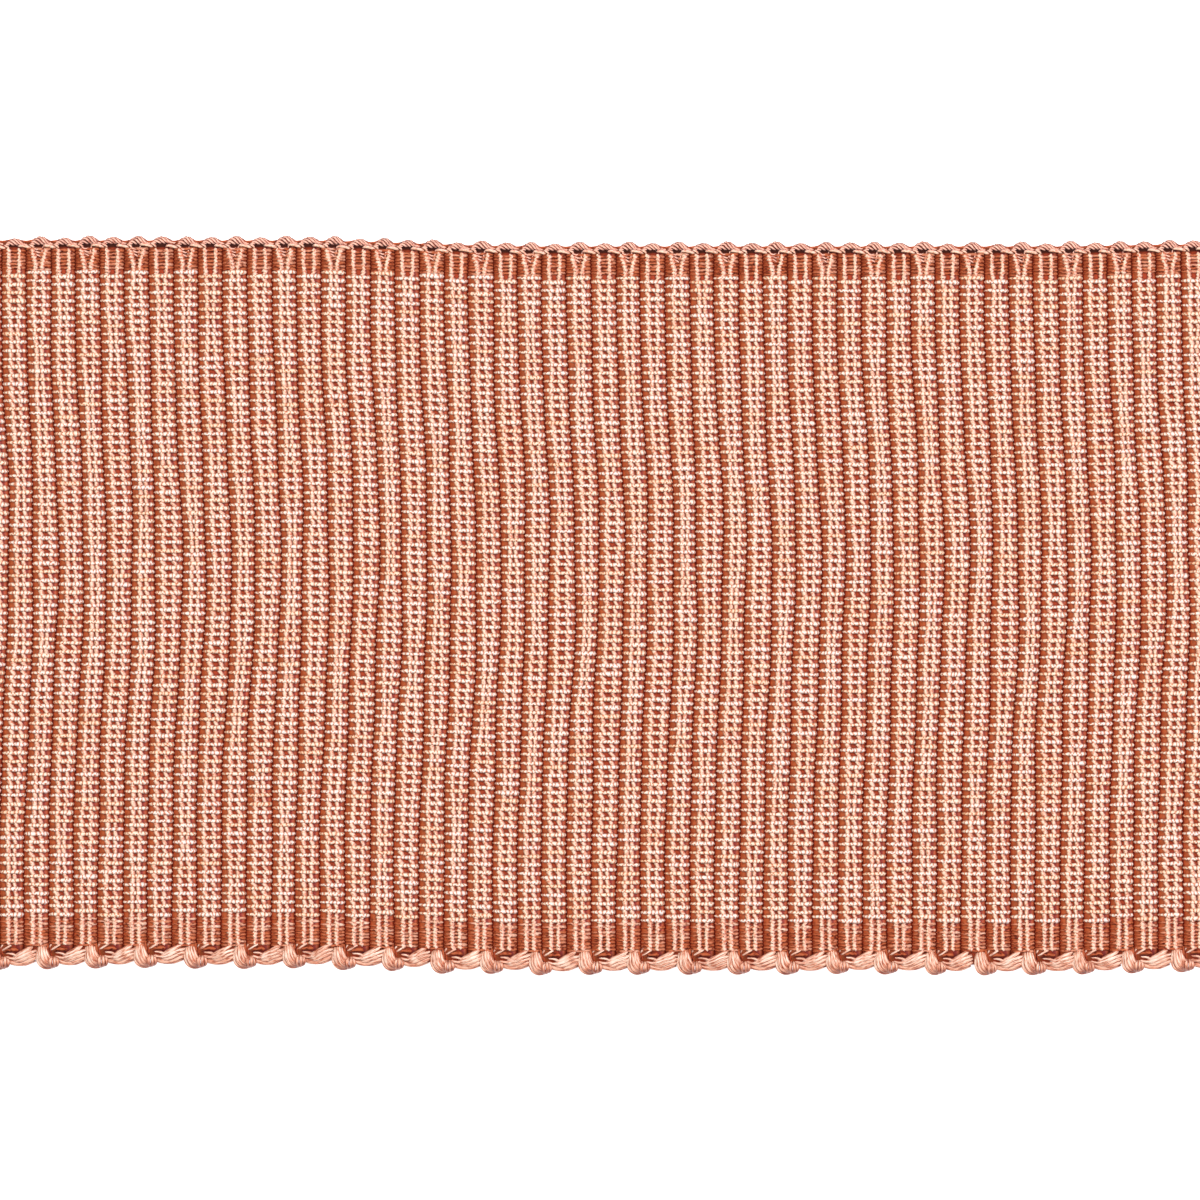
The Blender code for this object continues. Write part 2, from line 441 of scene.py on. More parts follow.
def strand_stations(parity):
    """Depth of each station, with its lobe, rise and fullness, for ribs of this parity."""
    dashes = warp_depth(np.arange(parity, CREAM_WARPS, 2))
    depths, lobes = [], []
    field = ((first, last, LOBE) for first, last in zip(dashes, dashes[1:]))
    edges = []
    for first, last in ((STRAND_TOP, dashes[0]), (dashes[-1], STRAND_FOOT)):
        stops = np.linspace(first, last, int(round((last - first) / SELVEDGE_TWIST)) + 1)
        edges.append([(a, b, LOBE * (1, 1, 0.4, 1)) for a, b in zip(stops, stops[1:])])
    for first, last, lobe in (*edges[0], *field, *edges[1]):
        depths.extend(first + (last - first) * lobe[:, 0])
        lobes.extend(lobe[:, 1:])
    return np.array([*depths, STRAND_FOOT]), np.array([*lobes, (0.0, 0.0, 0.8)])


def half_apart(ribs, depth):
    """Half of the distance between a rib's two strands."""
    field = FIELD_APART + FIELD_LOOSER * looseness(ribs, depth)
    spread_rib = (ribs % 2 == 0) * 1.0
    top = TOP_APART + spread_rib * (TOP_SPREAD - (TOP_SPREAD + TOP_DRAWN_IN) * eased(depth, 1.3, 3.3))
    into_field = eased(depth, FIELD_TOP - 1.0, FIELD_TOP + 1.2)
    into_foot = eased(depth, FIELD_FOOT - 2.0, FIELD_FOOT + 0.6)
    return (top * (1 - into_field) + field * into_field) * (1 - into_foot) + FOOT_APART * into_foot


def peach_strands(strand, side, parity):
    """One strand on all the ribs of one parity. side is -1 for the left and 1 for the right."""
    rng = np.random.default_rng(20 + side + 2 * parity)
    ribs = np.arange(parity, RIBS, 2)[:, None]
    depth, lobe = strand_stations(parity)
    shape = (len(ribs), len(depth))
    loose = looseness(ribs, depth)
    in_field = eased(depth, FIELD_TOP - 0.6, FIELD_TOP) * (1 - eased(depth, FIELD_FOOT, FIELD_FOOT + 0.6))
    swing = (EDGE_SWING + (LOOSE_SWING * loose - TIGHT_SWING) * in_field) * rng.uniform(0.6, 1.4, shape)
    path = lay(ribs + PAIR_MIDDLE + 0.0 * depth, depth, strand["height"] + lobe[:, 1])
    path[..., 0] += side * half_apart(ribs, depth) + swing * lobe[:, 0] + rng.normal(0, 0.02, shape)
    path[..., 2] += rng.normal(0, 0.015, shape)
    full = lobe[:, 2] * rng.uniform(0.85, 1.15, shape)
    tone = rng.uniform(0, 1, shape)
    return sweep(path, strand["half_width"] * full, strand["half_height"] * full, STRAND_SIDES, tone)


def rayon_peach():
    """Two-ply bright rayon: light peach, silky, with painted light, cream, on the left side of each
    lobe, painted shade, pinker, on its right side, and deeper painted shade below."""
    material, shader = new_material("two_ply_rayon_peach", {
        "Roughness": 0.45, "Specular IOR Level": 0.3, "Sheen Weight": 0.1,
    })
    uv = add_node(material, "ShaderNodeUVMap", {"uv_map": "yarn"})
    around = add_node(material, "ShaderNodeSeparateXYZ", links={"Vector": uv.outputs["UV"]})
    # Painted light and shade round the yarn: cream on its left side, pinker on its right, dark below.
    ply = add_node(material, "ShaderNodeValToRGB", {"stops": (
        (0.00, "#FFE0CE"), (0.16, "#FAC8B6"), (0.24, "#E2A08E"), (0.32, "#9A4028"), (0.68, "#9A4028"),
        (0.76, "#F0BC94"), (0.84, "#FFE6C8"), (1.00, "#FFE0CE"),
    )}, {"Fac": around.outputs["X"]})
    fuzz = yarn_noise(material, (3.0, 3.6), 2.0, 0.6)
    shade = add_node(material, "ShaderNodeValToRGB", {"stops": (
        (0.34, "#D9A08C"), (0.46, "#F8E2D8"), (0.56, "#FFFFFF"),
    )}, {"Fac": fuzz.outputs["Fac"]})
    colour = multiply(material, ply.outputs["Color"], shade.outputs["Color"])
    finish_material(material, shader, colour, fuzz.outputs["Fac"], 0.04)
    return material


peach = rayon_peach()
for strand_name, strand, side in (("left_peach_strands", LEFT_STRAND, -1),
                                  ("right_peach_strands", RIGHT_STRAND, 1)):
    parts = [peach_strands(strand, side, parity) for parity in (0, 1)]
    put_on_tape(strand_name, new_mesh(strand_name, parts, peach))


# The cream warps
# Fine twisted filament yarns of bright cream rayon run along the tape. Each goes over one rib
# and under the next, and shows on the face as a row of short shiny dashes.
OVER_RIB = np.array((
    (0.00, 0.80), (0.05, 1.44), (0.14, 1.72), (0.30, 1.82), (0.50, 1.80), (0.70, 1.84),
    (0.87, 1.76), (0.95, 1.50),
))
UNDER_RIB = np.array(((0.00, 0.80), (0.20, 0.16), (0.80, 0.16)))
DASH_HALF_WIDTH = 0.225
DASH_HALF_HEIGHT = 0.11
WARP_SIDES = 4
BEADS_PER_MM = 2.55
# A warp sticks out of both cut ends by up to STUB, and shows where it lies above FACE_HEIGHT;
# below it, it is painted dark red as shade.
STUB = 0.6
FACE_HEIGHT = 1.3
# How full and how bright a warp is at each share of the width of the rib that it crosses; the
# brightness is painted shade, darker where the warp lies low near the left groove.
FULLNESS = ((0.0, 0.6), (0.05, 0.6), (0.3, 0.95), (0.87, 1.12), (0.95, 0.9))
BRIGHTNESS = ((0.05, 0.6), (0.3, 0.85), (0.87, 1.0))


def warp_yarns(depths, parity, sections, half_width, half_height, seed):
    """The warps at these depths, over the ribs of this parity and under the others, each with a
    stub beyond both cut ends. Their tone is 0, painted shade, where they are hidden, and 0.3 to 1
    on the face, lower as painted shade where they lie low."""
    rng = np.random.default_rng(seed)
    over, under = sections
    stations = [(rib + share, height, rib) for rib in range(RIBS)
                for share, height in (over if rib % 2 == parity else under)]
    place, height, rib_of = np.array([*stations, (RIBS, MIDDLE_HEIGHT, RIBS)]).T
    rib_of = rib_of.astype(int)
    shape = (len(depths), len(place))
    nudge = rng.uniform(-0.04, 0.04, (len(depths), RIBS + 1))
    depth = depths[:, None] + nudge[:, rib_of] + rng.normal(0, 0.015, shape)
    path = lay(place, depth, height + rng.uniform(-0.02, 0.02, shape))
    stubs = rng.uniform(0.2, 1.0, (2, len(depths))) * STUB
    first, last = path[:, 0].copy(), path[:, -1].copy()
    first[:, 0] -= stubs[0]
    last[:, 0] += stubs[1]
    first[:, 1] += rng.uniform(-0.1, 0.1, len(depths))
    last[:, 1] += rng.uniform(-0.1, 0.1, len(depths))
    path = np.concatenate([first[:, None], path, last[:, None]], axis=1)
    dash_width = rng.uniform(0.85, 1.12, (len(depths), RIBS + 1))[:, rib_of]
    dash_width = np.pad(dash_width, ((0, 0), (1, 1)), "edge")
    fuller = np.pad(np.interp(place % 1, *zip(*FULLNESS)), 1, "edge")
    wide = half_width * dash_width * fuller * rng.uniform(0.8, 1.2, path.shape[:2])
    lit = np.interp(place % 1, *zip(*BRIGHTNESS)) * (height > FACE_HEIGHT)
    tone = rng.uniform(0.45, 1, (len(depths), RIBS + 1))[:, rib_of] * lit
    return sweep(path, wide, half_height, WARP_SIDES, np.pad(tone, ((0, 0), (1, 1)), "edge"))


def filament_cream():
    """Twisted filament rayon: bright cream and glossy, with painted shade, pinker, on its sides and
    underside. Its twist breaks it into beads about 0.4 mm long with painted shade, pinker, in the
    necks between. Some dashes are yellower and some pinker. Where it dips between the ribs it is
    painted dark red, as shade."""
    material, shader = new_material("twisted_filament_cream", {
        "Roughness": 0.35, "Sheen Weight": 0.1,
    })
    tone = add_node(material, "ShaderNodeAttribute", {"attribute_name": "tone"})
    # The tone gives dark red painted shade where a warp dips between the ribs, some painted shade where it
    # lies low, and each dash's own yellower or pinker cream.
    dye_and_shade = add_node(material, "ShaderNodeValToRGB", {"stops": (
        (0.0, "#5E0C02"), (0.15, "#B5603F"), (0.3, "#F4CCA4"), (0.5, "#FFF0DC"), (0.75, "#FFF9F2"),
        (1.0, "#FFF4F4"),
    )}, {"Fac": tone.outputs["Fac"]})
    uv = add_node(material, "ShaderNodeUVMap", {"uv_map": "yarn"})
    around = add_node(material, "ShaderNodeSeparateXYZ", links={"Vector": uv.outputs["UV"]})
    # Painted shade, pinker, on the sides and underside of the yarn.
    flank_shade = add_node(material, "ShaderNodeValToRGB", {"stops": (
        (0.0, "#FFFFFF"), (0.19, "#FFF4EC"), (0.26, "#E0A88E"), (0.74, "#E0A88E"), (0.81, "#FFF4EC"),
        (1.0, "#FFFFFF"),
    )}, {"Fac": around.outputs["X"]})
    beads = add_node(material, "ShaderNodeTexWave", {
        "bands_direction": "Y", "Scale": BEADS_PER_MM * math.pi / 10, "Distortion": 7.0, "Detail": 1.0,
        "Detail Scale": 1.3,
    }, {"Vector": uv.outputs["UV"]})
    # Painted shade in the necks between the beads, full colour on the beads.
    shade = add_node(material, "ShaderNodeValToRGB", {"stops": (
        (0.0, "#C87A5C"), (0.25, "#F4CCB8"), (0.5, "#FFFFFF"),
    )}, {"Fac": beads.outputs["Fac"]})
    yarn = multiply(material, dye_and_shade.outputs["Color"], flank_shade.outputs["Color"])
    colour = multiply(material, yarn, shade.outputs["Color"])
    finish_material(material, shader, colour, beads.outputs["Fac"], 0.08)
    return material


cream = filament_cream()
BANDS = (("cream_warps_upper", 0, 52), ("cream_warps_middle", 52, 104), ("cream_warps_lower", 104, 154))
for number, (warp_name, first, last) in enumerate(BANDS):
    parts = [warp_yarns(warp_depth(np.arange(first + parity, last, 2)), parity, (OVER_RIB, UNDER_RIB),
                        DASH_HALF_WIDTH, DASH_HALF_HEIGHT, 31 + 2 * number + parity)
             for parity in (0, 1)]
    put_on_tape(warp_name, new_mesh(warp_name, parts, cream))


# The selvedge warps
# In a narrow strip inside each edge the warps are rust, finer and closer, and pass under the
# peach strands. Those next to the field, at the knotted edge, are still half cream.
SELVEDGE_OVER = np.array((
    (0.00, 0.80), (0.05, 1.50), (0.14, 1.73), (0.30, 1.72), (0.50, 1.58), (0.84, 1.70), (0.955, 1.50),
))
SELVEDGE_UNDER = np.array(((0.00, 0.80), (0.50, 0.14)))
FINE_SPACING = 0.175
TOP_GAP = 0.30
TOP_WARPS = 13
TOP_SELVEDGE = FIELD_TOP - TOP_GAP - FINE_SPACING * np.arange(TOP_WARPS)
# At the foot the spacing closes up over the first few warps.
FOOT_GAPS = (0.38, 0.32, 0.27, 0.23, 0.20, *[FINE_SPACING] * 10)
FOOT_SELVEDGE = FIELD_FOOT + np.cumsum(FOOT_GAPS)
FINE_HALF_WIDTH = 0.15
FINE_HALF_HEIGHT = 0.08
RUST_TONE = 0.74
STILL_CREAM = (1.0, 0.9, 0.75, 0.55, 0.4, 0.2)


def fine_rayon_rust():
    """Fine rust rayon, a little silky. Its tone turns it to pink and cream, and at 0 to a deep red
    that is painted shade where a warp is hidden between the ribs and below the bars at the knots.
    """
    material, shader = new_material("fine_rayon_rust", {
        "Roughness": 0.55, "Specular IOR Level": 0.2, "Sheen Weight": 0.1, "Sheen Tint": linear("#FFB08A"),
    })
    tone = add_node(material, "ShaderNodeAttribute", {"attribute_name": "tone"})
    dye_and_shade = add_node(material, "ShaderNodeValToRGB", {"stops": (
        (0.0, "#5E0C02"), (0.1, "#A04022"), (0.35, "#BE6640"), (0.5, "#CC7A56"), (0.65, "#DC9C80"),
        (1.0, "#FFEAD8"),
    )}, {"Fac": tone.outputs["Fac"]})
    fuzz = yarn_noise(material, (2.0, 2.0))
    shade = add_node(material, "ShaderNodeValToRGB", {"stops": (
        (0.36, "#8A5040"), (0.48, "#F0D8CC"), (0.56, "#FFFFFF"),
    )}, {"Fac": fuzz.outputs["Fac"]})
    colour = multiply(material, dye_and_shade.outputs["Color"], shade.outputs["Color"])
    finish_material(material, shader, colour, fuzz.outputs["Fac"], 0.04)
    return material


fine_rust = fine_rayon_rust()
parts = []
for depths, fade, seed in ((TOP_SELVEDGE, (), 41), (FOOT_SELVEDGE, STILL_CREAM, 43)):
    fade = np.pad(fade, (0, len(depths) - len(fade)))
    for parity in (0, 1):
        points, patches, tone = warp_yarns(depths[parity::2], parity, (SELVEDGE_OVER, SELVEDGE_UNDER),
                                           FINE_HALF_WIDTH, FINE_HALF_HEIGHT, seed + parity)
        dye_and_shade = RUST_TONE + (1 - RUST_TONE) * fade[parity::2]
        parts.append((points, patches, tone * dye_and_shade[:, None, None]))
put_on_tape("selvedge_warps", new_mesh("selvedge_warps", parts, fine_rust))


# The looped edge
# The rust wefts turn back at this edge in a thin rim. Over the end of each rib the peach yarns
# wrap it in a small hump of slanting plies, and between two ribs they cross as a pale bar.
def smooth_path(points, steps):
    """A smooth curve through points, an array of yarn, point and x, y, z."""
    padded = np.concatenate([2 * points[:, :1] - points[:, 1:2], points,
                             2 * points[:, -1:] - points[:, -2:-1]], axis=1)
    z, a, b, c = (padded[:, i:i + points.shape[1] - 1, None] for i in range(4))
    t = (np.arange(steps) / steps)[:, None]
    curve = 0.5 * (2 * a + (b - z) * t + (2 * z - 5 * a + 4 * b - c) * t ** 2
                   + (3 * a - z - 3 * b + c) * t ** 3)
    return np.concatenate([curve.reshape(len(points), -1, 3), points[:, -1:]], axis=1)


COPY_UNEVENNESS = 0.04


def strands_at(places, strands, steps):
    """Copies at each place of a group of strands, which give x from it, depth and height. No two
    copies are quite the same length or lie quite in line."""
    x, depth, height = np.moveaxis(np.array(strands), -1, 0)
    uneven = np.random.default_rng(61).normal(0, 1, (RIBS + 1, 3))[places.astype(int)]
    inward, longer, along = uneven.T[:, :, None, None]
    points = lay(places[:, None, None] + 0.0 * x, depth + COPY_UNEVENNESS * inward, height)
    points[..., 0] += x * (1 + COPY_UNEVENNESS * longer) + COPY_UNEVENNESS * along
    return smooth_path(points.reshape(-1, x.shape[1], 3), steps)


def tapered(half_width, paths, start=0.5, end=0.5):
    """Half widths that narrow to these shares at the two ends of a strand."""
    along = np.linspace(0, 1, paths.shape[1])
    return half_width * np.interp(along, (0, 0.25, 0.75, 1), (start, 1, 1, end))


# The rim moves out and swells inside each hump, and less so in every second one.
RIM_STEPS = 10
RIM_DEPTH = 0.60
RIM_MOVE = 0.10
RIM_HEIGHT = 0.92
RIM_HALF_WIDTH = 0.14
RIM_SWELL = 0.16
RIM_HALF_HEIGHT = 0.17
RIM_SIDES = 6
RIM_TONE = 0.3
LOW_SHARE = 0.75
place = np.linspace(0, RIBS, RIBS * RIM_STEPS + 1)
hump = np.sin(np.pi * (place - np.floor(place))) ** 2
low_hump = np.where(np.clip(np.floor(place), 0, RIBS - 1) % 2, LOW_SHARE, 1.0)
rim_line = lay(place, RIM_DEPTH - RIM_MOVE * hump * low_hump, RIM_HEIGHT)[None]
rim = sweep(rim_line, RIM_HALF_WIDTH + RIM_SWELL * hump * low_hump, RIM_HALF_HEIGHT, RIM_SIDES, RIM_TONE)
put_on_tape("looped_edge_rim", new_mesh("looped_edge_rim", [rim], fine_rust))

# A hump's plies wind round it, down to the right on its face. Its tip stands BIG_TIP or LOW_TIP
# out from the rim. PLY_ANGLE and PLY_TURN are degrees round the hump, from its outer foot.
BIG_TIP = 0.70
LOW_TIP = 0.53
HUMP_LENGTH = 2.1
HUMP_INNER_DEPTH = 0.84
HUMP_FOOT = 0.85
HUMP_LEAST_RISE = 0.12
HUMP_RISE = 0.38
PLY_STARTS = np.arange(-1.6, 0.6, 0.43)
PLY_LEAN = 1.1
PLY_POINTS = 7
PLY_ANGLE = -15
PLY_TURN = 185
PLY_HALF_WIDTH = 0.17
PLY_HALF_HEIGHT = 0.12


def hump_plies(tip):
    """A hump's plies: x from the middle of its rib, depth and height."""
    turn = np.linspace(0, 1, PLY_POINTS)
    x = PLY_STARTS[:, None] + PLY_LEAN * turn
    fullness = np.cos(np.pi * np.clip(x / HUMP_LENGTH, -0.5, 0.5))
    outer = RIM_DEPTH - tip * fullness + PLY_HALF_WIDTH
    angle = np.radians(PLY_ANGLE + PLY_TURN * turn)
    depth = (outer + HUMP_INNER_DEPTH) / 2 - (HUMP_INNER_DEPTH - outer) / 2 * np.cos(angle)
    height = HUMP_FOOT + (HUMP_LEAST_RISE + HUMP_RISE * fullness) * np.sin(angle)
    return np.stack([x, depth, height], axis=-1)


# The bars between two ribs: x from the groove. The rib's last peach strand crosses the groove
# and is tucked under beside the next rib's first one.
BARS = (
    ((-0.80, 1.05, 1.30), (-0.58, 0.99, 1.58), (-0.15, 1.05, 1.62), (0.22, 1.15, 1.56), (0.46, 1.24, 1.30)),
    ((0.30, 0.90, 1.25), (0.50, 0.98, 1.48), (0.70, 1.10, 1.50), (0.80, 1.28, 1.30)),
)
BAR_HALF_WIDTHS = (0.16, 0.11)
BAR_HALF_HEIGHT = 0.12
# Curls of the plies that are left over, under the big humps and a little to their left.
CURLS_LEFT = 0.03
CURL_HALF_WIDTH = 0.12
CURL_HALF_HEIGHT = 0.1
CURLS = (
    ((-0.66, 1.02, 1.35), (-0.52, 1.28, 1.64), (-0.22, 1.38, 1.64), (0.06, 1.26, 1.40)),
    ((-0.52, 1.58, 1.50), (-0.30, 1.60, 1.70), (-0.04, 1.72, 1.70), (0.14, 1.66, 1.50)),
    ((-0.42, 1.86, 1.50), (-0.20, 1.94, 1.66), (0.02, 2.08, 1.64), (0.14, 2.20, 1.45)),
    ((0.36, 1.05, 1.35), (0.30, 1.40, 1.56), (0.24, 1.80, 1.56), (0.16, 2.20, 1.45)),
)


def plied_rayon_pink():
    """The peach rayon plied tight: pinker, with painted shade, a deep line, along each side of a ply
    and below it.
    """
    material, shader = new_material("plied_rayon_pink", {
        "Roughness": 0.45, "Specular IOR Level": 0.3, "Sheen Weight": 0.1,
    })
    uv = add_node(material, "ShaderNodeUVMap", {"uv_map": "yarn"})
    around = add_node(material, "ShaderNodeSeparateXYZ", links={"Vector": uv.outputs["UV"]})
    # Painted shade: dark red on the sides and underside of each ply, light on its top.
    ply = add_node(material, "ShaderNodeValToRGB", {"stops": (
        (0.00, "#FFDCD0"), (0.11, "#E8AC98"), (0.19, "#7A2818"), (0.81, "#7A2818"), (0.89, "#FFD2C2"),
        (1.00, "#FFDCD0"),
    )}, {"Fac": around.outputs["X"]})
    fuzz = yarn_noise(material, (3.0, 1.6))
    shade = add_node(material, "ShaderNodeValToRGB", {"stops": (
        (0.34, "#B98072"), (0.50, "#FFF4EC"),
    )}, {"Fac": fuzz.outputs["Fac"]})
    colour = multiply(material, ply.outputs["Color"], shade.outputs["Color"])
    finish_material(material, shader, colour, fuzz.outputs["Fac"], 0.04)
    return material


pink = plied_rayon_pink()
HUMP_MIDDLE = 0.55
parts = []
for first_rib, tip in ((0, BIG_TIP), (1, LOW_TIP)):
    plies = strands_at(np.arange(first_rib, RIBS, 2) + HUMP_MIDDLE, hump_plies(tip), 1)
    parts.append(sweep(plies, tapered(PLY_HALF_WIDTH, plies, 0.8, 0.8), PLY_HALF_HEIGHT, STRAND_SIDES))
curls = strands_at(np.arange(0, RIBS, 2) + HUMP_MIDDLE - CURLS_LEFT, CURLS, 3)
parts.append(sweep(curls, tapered(CURL_HALF_WIDTH, curls), tapered(CURL_HALF_HEIGHT, curls), STRAND_SIDES))
put_on_tape("looped_edge_humps", new_mesh("looped_edge_humps", parts, pink))

parts = []
for bar, half_width in zip(BARS, BAR_HALF_WIDTHS):
    bars = strands_at(np.arange(1.0, RIBS), [bar], 2)
    parts.append(sweep(bars, tapered(half_width, bars, 0.8, 0.7), BAR_HALF_HEIGHT, STRAND_SIDES))
put_on_tape("looped_edge_bars", new_mesh("looped_edge_bars", parts, peach))


# The knotted edge
# At every second groove the peach strands of the rib on its left come down in a thick silky
# bundle and curl round into a ball. From one ball to the next runs a loose leaf of strands.
KNOT_GROOVES = np.arange(1.0, RIBS, 2)
KNOT = (
    ((-1.02, 73.80, 1.30), (-1.14, 74.40, 1.52), (-1.14, 75.05, 1.48), (-0.92, 75.62, 1.30),
     (-0.48, 75.94, 1.08), (0.04, 76.00, 0.90), (0.46, 75.90, 0.75)),
    ((-0.92, 73.75, 1.45), (-0.93, 74.35, 1.78), (-0.86, 75.00, 1.78), (-0.60, 75.52, 1.58),
     (-0.22, 75.78, 1.32), (0.14, 75.82, 1.08), (0.40, 75.76, 0.85)),
    ((-0.72, 73.65, 1.50), (-0.68, 74.25, 1.84), (-0.58, 74.85, 1.88), (-0.36, 75.32, 1.72),
     (-0.08, 75.58, 1.50), (0.14, 75.66, 1.26), (0.30, 75.64, 1.00)),
    ((-0.52, 73.60, 1.50), (-0.45, 74.10, 1.78), (-0.33, 74.62, 1.84), (-0.18, 75.02, 1.74),
     (-0.04, 75.30, 1.56), (0.08, 75.46, 1.34), (0.20, 75.50, 1.10)),
    ((-0.32, 73.80, 1.45), (-0.22, 74.22, 1.70), (-0.10, 74.58, 1.78), (0.04, 74.84, 1.70),
     (0.20, 75.00, 1.55), (0.36, 75.06, 1.35), (0.50, 75.06, 1.10)),
)
BALL = (
    ((0.14, 74.84, 1.00), (0.00, 75.08, 1.40), (-0.04, 75.44, 1.50), (0.04, 75.74, 1.28),
     (0.20, 75.94, 0.85)),
    ((0.34, 74.76, 1.05), (0.26, 75.02, 1.54), (0.24, 75.44, 1.68), (0.30, 75.82, 1.40),
     (0.36, 76.02, 0.90)),
    ((0.56, 74.78, 1.05), (0.62, 75.04, 1.48), (0.64, 75.44, 1.60), (0.60, 75.80, 1.34),
     (0.50, 75.98, 0.85)),
    ((0.72, 74.90, 0.95), (0.90, 75.14, 1.22), (0.95, 75.44, 1.28), (0.88, 75.70, 1.10),
     (0.68, 75.88, 0.80)),
)
# Half width and half height of these strands, how much of both is left at the start and the end,
# and how much painted shade, a brown, the strands carry along their way, most where they bend.
KNOT_STRAND = (0.2, 0.19, 0.7, 0.6)
BALL_STRAND = (0.19, 0.17, 0.6, 0.6)
KNOT_SHADE = ((0.0, 0.3), (0.2, 0.0), (0.4, 0.1), (0.65, 0.8), (1.0, 0.9))
BALL_SHADE = ((0.0, 0.5), (0.3, 0.1), (0.6, 0.8), (1.0, 1.0))
THICK_SIDES = 5
# The leaf's strands, each with its half width and how much painted shade, a brown, it carries,
# lowest first.
LEAF = (
    (0.44, 0.8, ((1.00, 74.85, 0.90), (1.80, 75.00, 1.02), (2.90, 74.90, 1.12), (4.00, 74.75, 1.05))),
    (0.27, 0.5, ((0.60, 74.90, 0.80), (1.10, 75.28, 0.95), (1.90, 75.48, 1.05), (2.86, 75.44, 1.05),
                 (3.90, 75.20, 0.95))),
    (0.14, 0.1, ((0.42, 74.44, 1.05), (0.95, 74.40, 1.30), (1.50, 74.50, 1.38), (2.00, 74.72, 1.30))),
    (0.14, 0.2, ((0.50, 74.68, 1.00), (1.00, 74.88, 1.24), (1.45, 74.94, 1.28), (1.90, 74.84, 1.24))),
    (0.28, 0.3, ((2.00, 75.46, 0.95), (2.70, 75.30, 1.22), (3.35, 75.04, 1.42), (4.10, 74.80, 1.45))),
    (0.29, 0.2, ((1.55, 75.24, 1.05), (2.30, 75.06, 1.36), (3.05, 74.74, 1.58), (4.10, 74.44, 1.60))),
    (0.28, 0.0, ((1.40, 75.04, 1.10), (2.15, 74.80, 1.45), (2.95, 74.44, 1.68), (4.00, 74.10, 1.66))),
    (0.27, 0.1, ((1.50, 74.80, 1.15), (2.15, 74.52, 1.50), (2.80, 74.16, 1.70), (3.25, 73.92, 1.74),
                 (3.60, 73.72, 1.64))),
)
LEAF_HALF_HEIGHT = 0.17
# Two thin strands run up from each knot to the feet of the next rib's peach strands.
FOOT_HALF_WIDTH = 0.13
FOOT_HALF_HEIGHT = 0.1
FEET = (
    ((0.26, 74.14, 1.40), (0.50, 74.00, 1.58), (0.82, 73.80, 1.70), (1.26, 73.54, 1.70)),
    ((0.14, 73.88, 1.35), (0.22, 73.70, 1.50), (0.32, 73.54, 1.56), (0.42, 73.40, 1.50)),
)
# A bar of rust weft on the rib to the right of each knot, a thin strand under it, dark as painted
# shade, and the two rust strands that go down into the ball. Each has its half width and its tone.
RUST_HALF_HEIGHT = 0.13
RUST_STRANDS = (
    (0.20, 0.35, ((0.20, 74.08, 1.25), (0.80, 74.02, 1.45), (1.60, 74.02, 1.45), (2.15, 74.06, 1.25))),
    (0.10, 0.0, ((0.10, 74.34, 1.30), (0.80, 74.31, 1.38), (1.60, 74.32, 1.38), (2.15, 74.36, 1.20))),
    (0.17, 0.3, ((-0.10, 73.45, 1.50), (-0.04, 74.20, 1.50), (0.04, 75.00, 1.25))),
    (0.15, 0.15, ((0.20, 73.70, 1.40), (0.26, 74.40, 1.38), (0.34, 75.00, 1.15))),
)


def silky_rayon_peach():
    """Bright peach rayon in thick soft strands: silky, cream where it catches the light and a deep
    brown rose between the strands, painted shade. Its tone, also painted shade, turns it from cream
    to brown."""
    material, shader = new_material("silky_rayon_peach", {
        "Roughness": 0.35, "Specular IOR Level": 0.4, "Sheen Weight": 0.1,
    })
    tone = add_node(material, "ShaderNodeAttribute", {"attribute_name": "tone"})
    dye_and_shade = add_node(material, "ShaderNodeValToRGB", {"stops": (
        (0.0, "#FFF0E4"), (0.4, "#F6CCB4"), (1.0, "#944632"),
    )}, {"Fac": tone.outputs["Fac"]})
    uv = add_node(material, "ShaderNodeUVMap", {"uv_map": "yarn"})
    around = add_node(material, "ShaderNodeSeparateXYZ", links={"Vector": uv.outputs["UV"]})
    # Painted shade on the sides and underside of each strand, a painted highlight on its top.
    ply = add_node(material, "ShaderNodeValToRGB", {"stops": (
        (0.00, "#FFFFFF"), (0.15, "#F4D2C4"), (0.26, "#9A4C36"), (0.74, "#9A4C36"), (0.85, "#FFE6D6"),
        (1.00, "#FFFFFF"),
    )}, {"Fac": around.outputs["X"]})
    fuzz = yarn_noise(material, (9.0, 1.1))
    shade = add_node(material, "ShaderNodeValToRGB", {"stops": (
        (0.36, "#B07058"), (0.46, "#EEC8B8"), (0.56, "#FFFFFF"),
    )}, {"Fac": fuzz.outputs["Fac"]})
    yarn = multiply(material, dye_and_shade.outputs["Color"], ply.outputs["Color"])
    colour = multiply(material, yarn, shade.outputs["Color"])
    finish_material(material, shader, colour, fuzz.outputs["Fac"], 0.06)
    return material


def thick_strands(places, strands, half_width, half_height, start, end, brown):
    """Soft thick strands at each place. brown is one tone or pairs of share of the way and tone: the
    painted shade that turns them brown.
    """
    paths = strands_at(places, strands, 3)
    if isinstance(brown, tuple):
        brown = np.interp(np.linspace(0, 1, paths.shape[1]), *zip(*brown))
    return sweep(paths, tapered(half_width, paths, start, end), tapered(half_height, paths, start, end),
                 THICK_SIDES, brown)


